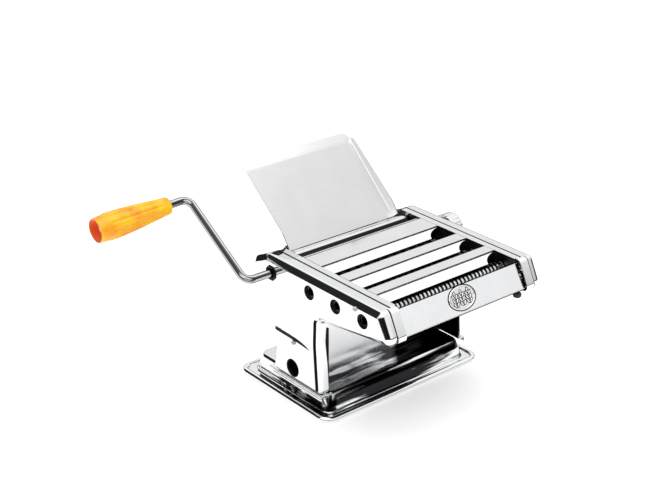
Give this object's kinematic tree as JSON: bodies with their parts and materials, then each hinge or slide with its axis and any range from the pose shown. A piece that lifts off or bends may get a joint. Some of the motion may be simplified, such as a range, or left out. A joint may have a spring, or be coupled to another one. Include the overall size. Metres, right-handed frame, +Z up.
{
  "type": "manual pasta roller machine",
  "caption": "Hand-cranked kitchen machine that rolls dough into sheets and cuts them into strips, on a plinth base with a lift-off tray.",
  "frame": {"origin": "centre of the base rectangle on the plane its rim stands on", "axes": "+Z up, -Y towards the front panel, crank on the -X side, gap dial on the +X side"},
  "size_m": [0.369, 0.2866, 0.2188],
  "materials": {
    "polished_steel": "mirror polished stainless sheet",
    "slat_steel": "polished stainless sheet",
    "frame_steel": "satin steel plate",
    "tray_steel": "soft satin stainless sheet",
    "roller_chrome": "ground and chromed",
    "cutter_steel": "ground and chromed",
    "comb_steel": "sprung steel",
    "rod_chrome": "chromed bar",
    "dial_metal": "bright turned",
    "screw_steel": "zinc bright",
    "grip_plastic": "gloss moulded",
    "button_rubber": "matt black",
    "bush_nylon": "natural nylon",
    "gear_steel": "hobbed steel"
  },
  "bodies": {
    "frame": {"base_plate": "polished_steel", "clamp_socket": "screw_steel", "column_panel": "polished_steel", "combs_1": "comb_steel", "combs_2": "comb_steel", "combs_3": "comb_steel", "cover_screws": "screw_steel", "cutter_bushes": "bush_nylon", "foot_rails": "polished_steel", "front_cover": "polished_steel", "left_cover": "polished_steel", "left_frame": "frame_steel", "medallion": "polished_steel", "rear_cover": "polished_steel", "right_cover": "polished_steel", "right_frame": "frame_steel", "roller_bushes": "bush_nylon", "rubber_stop": "button_rubber", "scrapers": "comb_steel", "slat_1": "slat_steel", "slat_2": "slat_steel", "slat_3": "slat_steel", "tie_nuts": "screw_steel", "tie_rods": "screw_steel", "tray_pins": "screw_steel"},
    "drive_roller_set": {"drive_roller": "roller_chrome", "drive_gear": "gear_steel"},
    "adjust_roller_set": {"adjust_roller": "roller_chrome", "adjust_gear": "gear_steel"},
    "roller_carrier": {"left_block": "bush_nylon", "right_block": "bush_nylon"},
    "dial": {"gap_dial": "dial_metal", "dial_screw": "screw_steel"},
    "crank": {"crank_rod": "rod_chrome", "grip_rivet": "screw_steel"},
    "grip": {"crank_grip": "grip_plastic"},
    "tray": {"dough_tray": "tray_steel"},
    "cutter_1_drive": {"cutter_drive_1": "cutter_steel", "cutter_gear_drive_1": "gear_steel"},
    "cutter_1_driven": {"cutter_driven_1": "cutter_steel", "cutter_gear_driven_1": "gear_steel"},
    "cutter_2_drive": {"cutter_drive_2": "cutter_steel", "cutter_gear_drive_2": "gear_steel"},
    "cutter_2_driven": {"cutter_driven_2": "cutter_steel", "cutter_gear_driven_2": "gear_steel"},
    "cutter_3_drive": {"cutter_drive_3": "cutter_steel", "cutter_gear_drive_3": "gear_steel"},
    "cutter_3_driven": {"cutter_driven_3": "cutter_steel", "cutter_gear_driven_3": "gear_steel"}
  },
  "joints": [
    {"name": "crank_turn", "type": "hinge", "parent": "frame", "child": "drive_roller_set", "pos_m": [0, 0.0181, 0.1352], "axis": [1, 0, 0], "continuous": true},
    {"name": "crank_pull", "type": "slide", "parent": "drive_roller_set", "child": "crank", "axis": [-1, 0, 0], "range_m": [0, 0.02]},
    {"name": "grip_spin", "type": "hinge", "parent": "crank", "child": "grip", "pos_m": [-0.161, 0.1142, 0.19296], "axis": [-0.9985, 0, -0.0547], "continuous": true},
    {"name": "dial_turn", "type": "hinge", "parent": "frame", "child": "dial", "pos_m": [0.105, -0.0146, 0.1352], "axis": [1, 0, 0], "range_deg": [0, 271.8]},
    {"name": "gap_slide", "type": "slide", "parent": "frame", "child": "roller_carrier", "axis": [0, -1, 0], "range_m": [0, 0.0016]},
    {"name": "adjust_spin", "type": "hinge", "parent": "roller_carrier", "child": "adjust_roller_set", "pos_m": [0, -0.0101, 0.1352], "axis": [1, 0, 0], "continuous": true},
    {"name": "tray_lift", "type": "slide", "parent": "frame", "child": "tray", "axis": [0, 0.7337, 0.6794], "range_m": [0, 0.06]},
    {"name": "cutter_1_turn", "type": "hinge", "parent": "frame", "child": "cutter_1_drive", "pos_m": [0, -0.0426, 0.1358], "axis": [1, 0, 0], "continuous": true},
    {"name": "cutter_1_follow", "type": "hinge", "parent": "frame", "child": "cutter_1_driven", "pos_m": [0, -0.05951, 0.12964], "axis": [1, 0, 0], "continuous": true},
    {"name": "cutter_2_turn", "type": "hinge", "parent": "frame", "child": "cutter_2_drive", "pos_m": [0, -0.0822, 0.1358], "axis": [1, 0, 0], "continuous": true},
    {"name": "cutter_2_follow", "type": "hinge", "parent": "frame", "child": "cutter_2_driven", "pos_m": [0, -0.09911, 0.12964], "axis": [1, 0, 0], "continuous": true},
    {"name": "cutter_3_turn", "type": "hinge", "parent": "frame", "child": "cutter_3_drive", "pos_m": [0, -0.1218, 0.1358], "axis": [1, 0, 0], "continuous": true},
    {"name": "cutter_3_follow", "type": "hinge", "parent": "frame", "child": "cutter_3_driven", "pos_m": [0, -0.13871, 0.12964], "axis": [1, 0, 0], "continuous": true}
  ],
  "couplings": [
    {"joint": "dial_turn", "follows": "gap_slide", "rad_per_m": 2945.2},
    {"joint": "adjust_spin", "follows": "crank_turn", "ratio": -1},
    {"joint": "cutter_1_follow", "follows": "cutter_1_turn", "ratio": -1},
    {"joint": "cutter_2_follow", "follows": "cutter_2_turn", "ratio": -1},
    {"joint": "cutter_3_follow", "follows": "cutter_3_turn", "ratio": -1}
  ]
}
